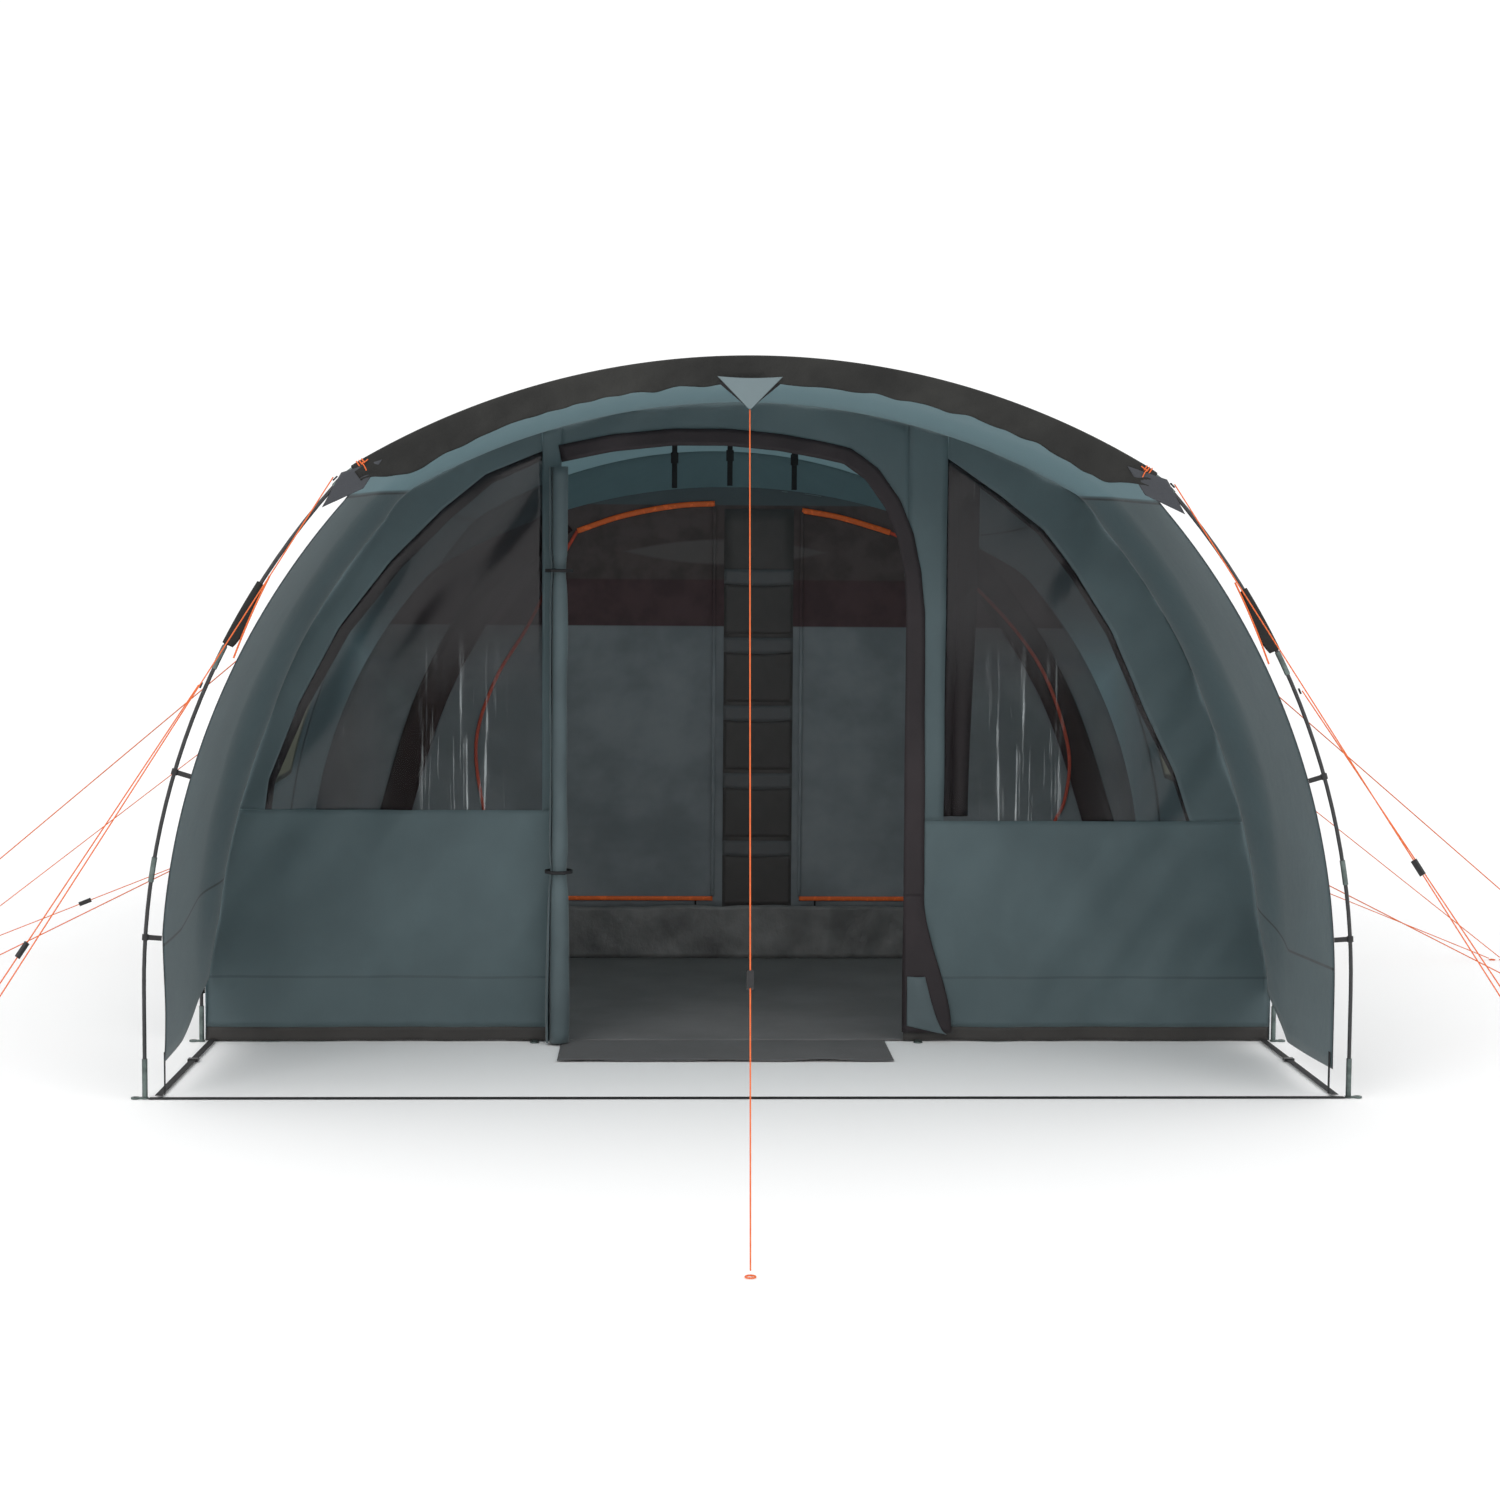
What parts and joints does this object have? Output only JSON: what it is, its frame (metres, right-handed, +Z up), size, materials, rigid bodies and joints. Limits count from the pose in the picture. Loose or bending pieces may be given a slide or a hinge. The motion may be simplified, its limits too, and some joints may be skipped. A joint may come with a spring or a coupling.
{
  "type": "tunnel tent",
  "caption": "Family tunnel tent on arched poles, with a front porch, clear windows, a rolled-open door and an inner bedroom, held out by orange guylines.",
  "frame": {"origin": "on the ground, on the centreline, under the front of the bedroom floor", "axes": "+Z up; -Y towards the front porch and door; +X to the right as seen from the front"},
  "size_m": [5.9444, 6.8615, 2.0302],
  "materials": {
    "fibreglass": "glossy black pultruded rod",
    "pole_steel": "galvanised, slightly green-grey",
    "elastic": "braided",
    "dark_cloth": "coated polyester, charcoal",
    "blue_cloth": "coated polyester, blue grey",
    "clear_sheet": "clear soft PVC",
    "inner_cloth": "breathable polyester",
    "floor_sheet": "coated woven polyethylene",
    "webbing": "woven polypropylene",
    "black_plastic": "moulded",
    "zip_orange": "coil zip tape",
    "zip_metal": "black lacquer",
    "orange_cord": "braided polyester cord"
  },
  "bodies": {
    "tent": {"bedroom_fly": "blue_cloth", "bedroom_zips": "zip_orange", "body_sleeves": "dark_cloth", "corner_straps": "webbing", "door_binding": "dark_cloth", "door_pole": "fibreglass", "door_toggles": "webbing", "foot_pins": "pole_steel", "front_guyline": "orange_cord", "front_hood": "dark_cloth", "front_pole": "fibreglass", "front_wall": "blue_cloth", "front_windows": "clear_sheet", "ground_strap": "webbing", "groundsheet": "floor_sheet", "guy_anchors": "webbing", "hem_rings": "pole_steel", "inner_body": "inner_cloth", "inner_front_wall": "inner_cloth", "inner_hangers": "webbing", "inner_tub": "floor_sheet", "left_door_lower_guyline": "orange_cord", "left_door_upper_guyline": "orange_cord", "left_front_lower_guyline": "orange_cord", "left_front_upper_guyline": "orange_cord", "left_middle_lower_guyline": "orange_cord", "left_middle_upper_guyline": "orange_cord", "living_fly": "blue_cloth", "middle_pole": "fibreglass", "organiser": "inner_cloth", "peg_loops": "orange_cord", "pole_clips": "black_plastic", "pole_feet": "pole_steel", "pole_ferrules": "pole_steel", "porch_canopy": "blue_cloth", "rear_pole": "fibreglass", "rear_wall": "blue_cloth", "right_door_lower_guyline": "orange_cord", "right_door_upper_guyline": "orange_cord", "right_front_lower_guyline": "orange_cord", "right_front_upper_guyline": "orange_cord", "right_middle_lower_guyline": "orange_cord", "right_middle_upper_guyline": "orange_cord", "rolled_door": "blue_cloth", "shock_cords": "elastic", "side_sleeves": "dark_cloth", "side_windows": "clear_sheet", "threshold_flap": "floor_sheet", "window_curtain": "dark_cloth"},
    "front_runner_body": {"front_runner": "black_plastic"},
    "left_front_runner_body": {"left_front_runner": "black_plastic"},
    "right_front_runner_body": {"right_front_runner": "black_plastic"},
    "left_middle_runner_body": {"left_middle_runner": "black_plastic"},
    "right_middle_runner_body": {"right_middle_runner": "black_plastic"},
    "left_strap_buckle_body": {"left_strap_buckle": "black_plastic"},
    "right_strap_buckle_body": {"right_strap_buckle": "black_plastic"},
    "door_zip_slider_body": {"door_zip_slider": "zip_metal"},
    "left_bedroom_zip_slider_body": {"left_bedroom_zip_slider": "zip_metal"},
    "right_bedroom_zip_slider_body": {"right_bedroom_zip_slider": "zip_metal"}
  },
  "joints": [
    {"name": "front_guyline_runner_slide", "type": "slide", "parent": "tent", "child": "front_runner_body", "axis": [-0.0195, -0.6772, -0.7355], "range_m": [-0.6, 0.5]},
    {"name": "left_front_runner_slide", "type": "slide", "parent": "tent", "child": "left_front_runner_body", "axis": [-0.4792, -0.3546, -0.8029], "range_m": [-0.4, 0.35]},
    {"name": "right_front_runner_slide", "type": "slide", "parent": "tent", "child": "right_front_runner_body", "axis": [0.4963, -0.2458, -0.8326], "range_m": [-0.6, 0.6]},
    {"name": "left_middle_runner_slide", "type": "slide", "parent": "tent", "child": "left_middle_runner_body", "axis": [-0.9287, 0, -0.3709], "range_m": [-0.4, 0.35]},
    {"name": "right_middle_runner_slide", "type": "slide", "parent": "tent", "child": "right_middle_runner_body", "axis": [0.9287, 0, -0.3709], "range_m": [-0.15, 0.8]},
    {"name": "left_strap_buckle_slide", "type": "slide", "parent": "tent", "child": "left_strap_buckle_body", "axis": [0, 1, 0], "range_m": [-0.3, 0.25]},
    {"name": "right_strap_buckle_slide", "type": "slide", "parent": "tent", "child": "right_strap_buckle_body", "axis": [0, 1, 0], "range_m": [-0.3, 0.25]},
    {"name": "door_zip_slide", "type": "slide", "parent": "tent", "child": "door_zip_slider_body", "axis": [0, 0, 1], "range_m": [0, 1.2]},
    {"name": "left_bedroom_zip_slide", "type": "slide", "parent": "tent", "child": "left_bedroom_zip_slider_body", "axis": [-1, 0, 0], "range_m": [0, 0.6]},
    {"name": "right_bedroom_zip_slide", "type": "slide", "parent": "tent", "child": "right_bedroom_zip_slider_body", "axis": [1, 0, 0], "range_m": [0, 0.65]}
  ]
}
